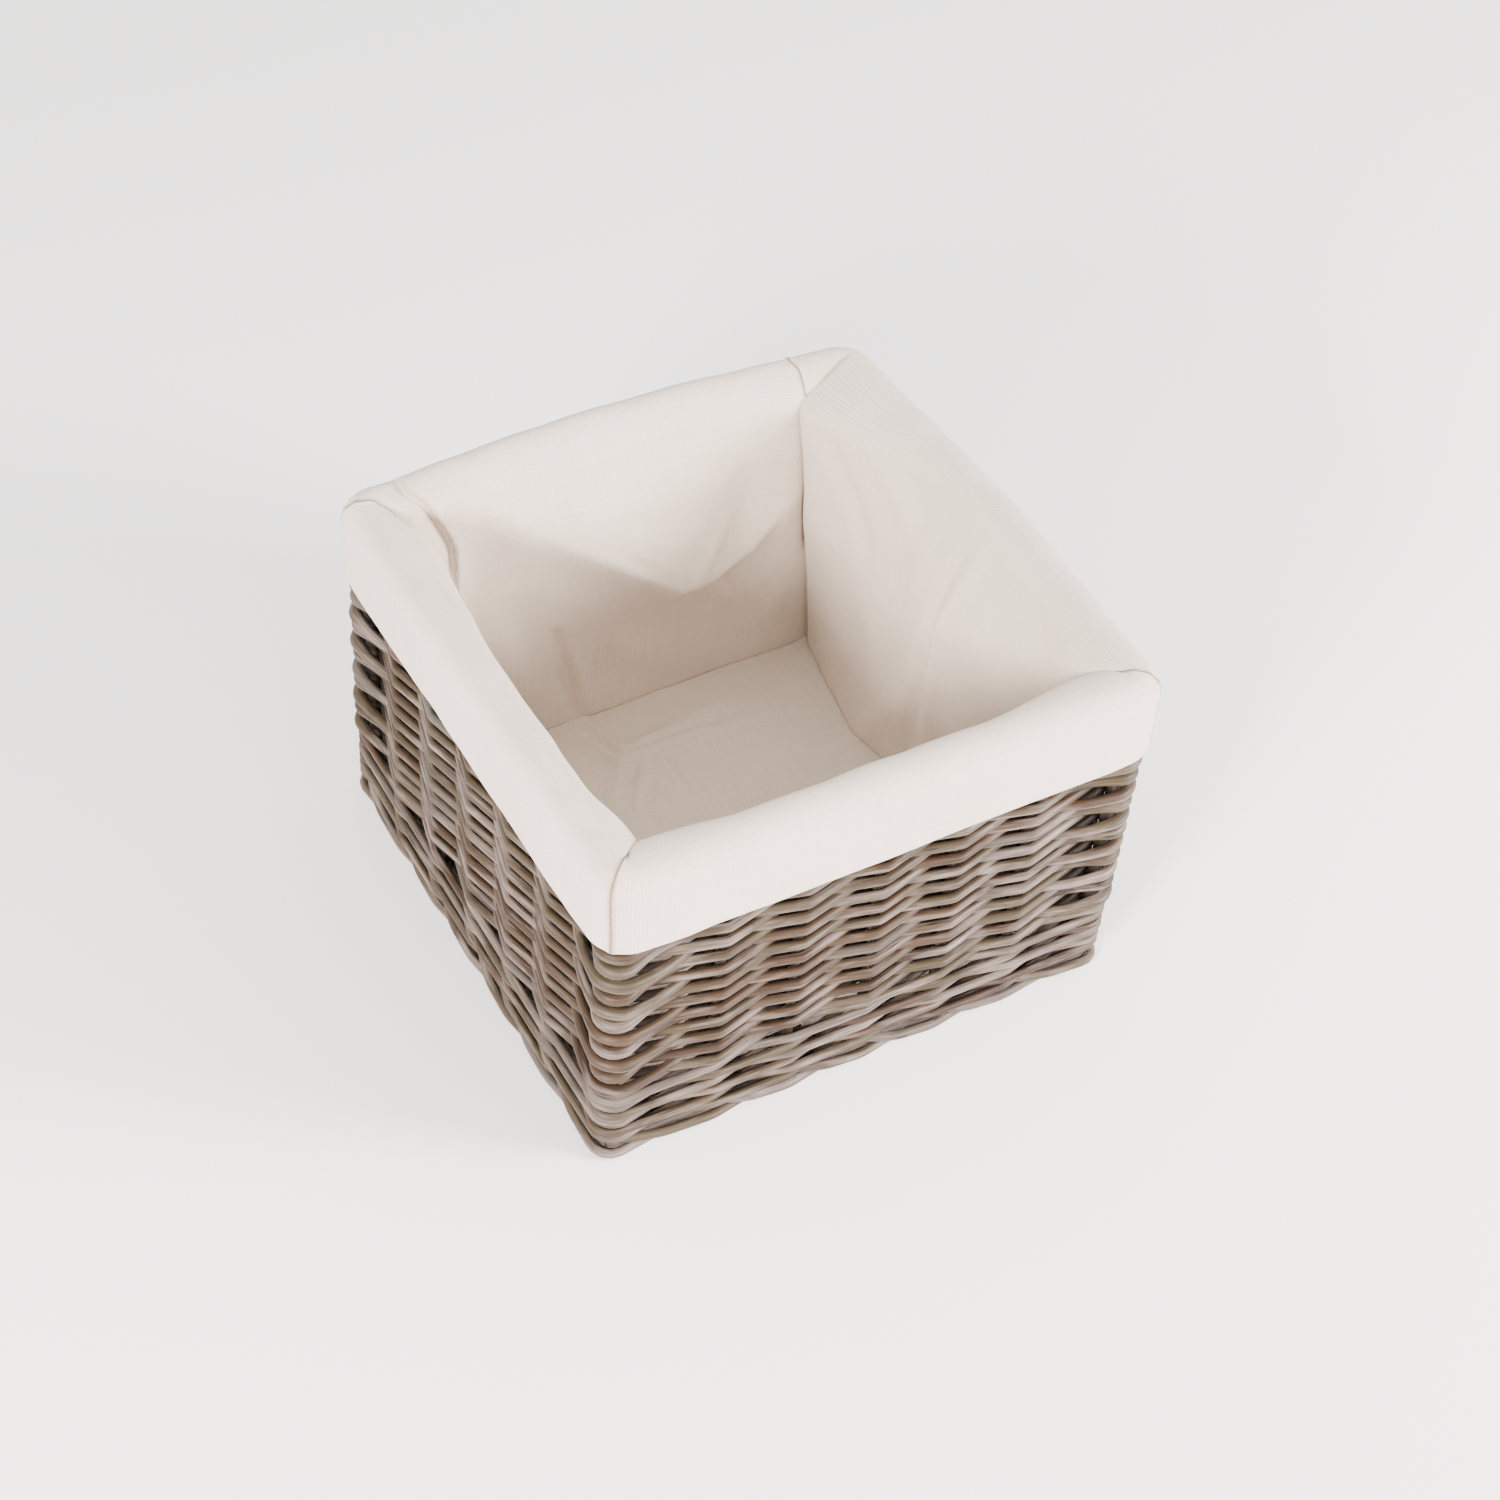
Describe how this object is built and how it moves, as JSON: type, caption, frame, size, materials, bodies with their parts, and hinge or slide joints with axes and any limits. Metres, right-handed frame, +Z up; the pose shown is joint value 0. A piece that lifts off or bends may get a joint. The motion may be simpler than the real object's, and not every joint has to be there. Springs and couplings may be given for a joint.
{
  "type": "lined square willow basket",
  "caption": "Low square open basket woven from grey-washed willow, with a removable natural cotton lining that turns over the rim as a cuff.",
  "frame": {"origin": "centre of the basket's footprint, on the floor under the foot border", "axes": "+X to the basket's right, +Y to the back, +Z up out of the open top; the front is the -Y side"},
  "size_m": [0.3598, 0.3528, 0.2384],
  "materials": {
    "willow_rod": "unpeeled look, grey antique wash, slight sheen",
    "willow_border": "grey antique wash, slight sheen",
    "willow_stick": "grey antique wash, matte",
    "cotton_lining": "natural plain-weave cotton, soft and creased",
    "cotton_cuff": "natural plain-weave cotton, matte"
  },
  "bodies": {
    "basket": {"woven_wall_front": "willow_rod", "woven_wall_right": "willow_rod", "woven_wall_back": "willow_rod", "woven_wall_left": "willow_rod", "bottom_wale_front": "willow_border", "bottom_wale_right": "willow_border", "bottom_wale_back": "willow_border", "bottom_wale_left": "willow_border", "foot_border_front": "willow_border", "foot_border_right": "willow_border", "foot_border_back": "willow_border", "foot_border_left": "willow_border", "top_border_front": "willow_border", "top_border_right": "willow_border", "top_border_back": "willow_border", "top_border_left": "willow_border", "corner_post_front_left": "willow_stick", "corner_post_front_right": "willow_stick", "corner_post_back_right": "willow_stick", "corner_post_back_left": "willow_stick", "side_stakes_front": "willow_stick", "side_stakes_right": "willow_stick", "side_stakes_back": "willow_stick", "side_stakes_left": "willow_stick", "base_sticks": "willow_stick", "base_weave": "willow_rod"},
    "lining": {"lining_floor": "cotton_lining", "lining_side_front": "cotton_lining", "lining_side_right": "cotton_lining", "lining_side_back": "cotton_lining", "lining_side_left": "cotton_lining", "cuff_front": "cotton_cuff", "cuff_right": "cotton_cuff", "cuff_back": "cotton_cuff", "cuff_left": "cotton_cuff", "cuff_hem_front": "cotton_cuff", "cuff_hem_right": "cotton_cuff", "cuff_hem_back": "cotton_cuff", "cuff_hem_left": "cotton_cuff"}
  },
  "joints": [
    {"name": "lining_lift", "type": "slide", "parent": "basket", "child": "lining", "axis": [0, 0, 1], "range_m": [0, 0.24]}
  ]
}
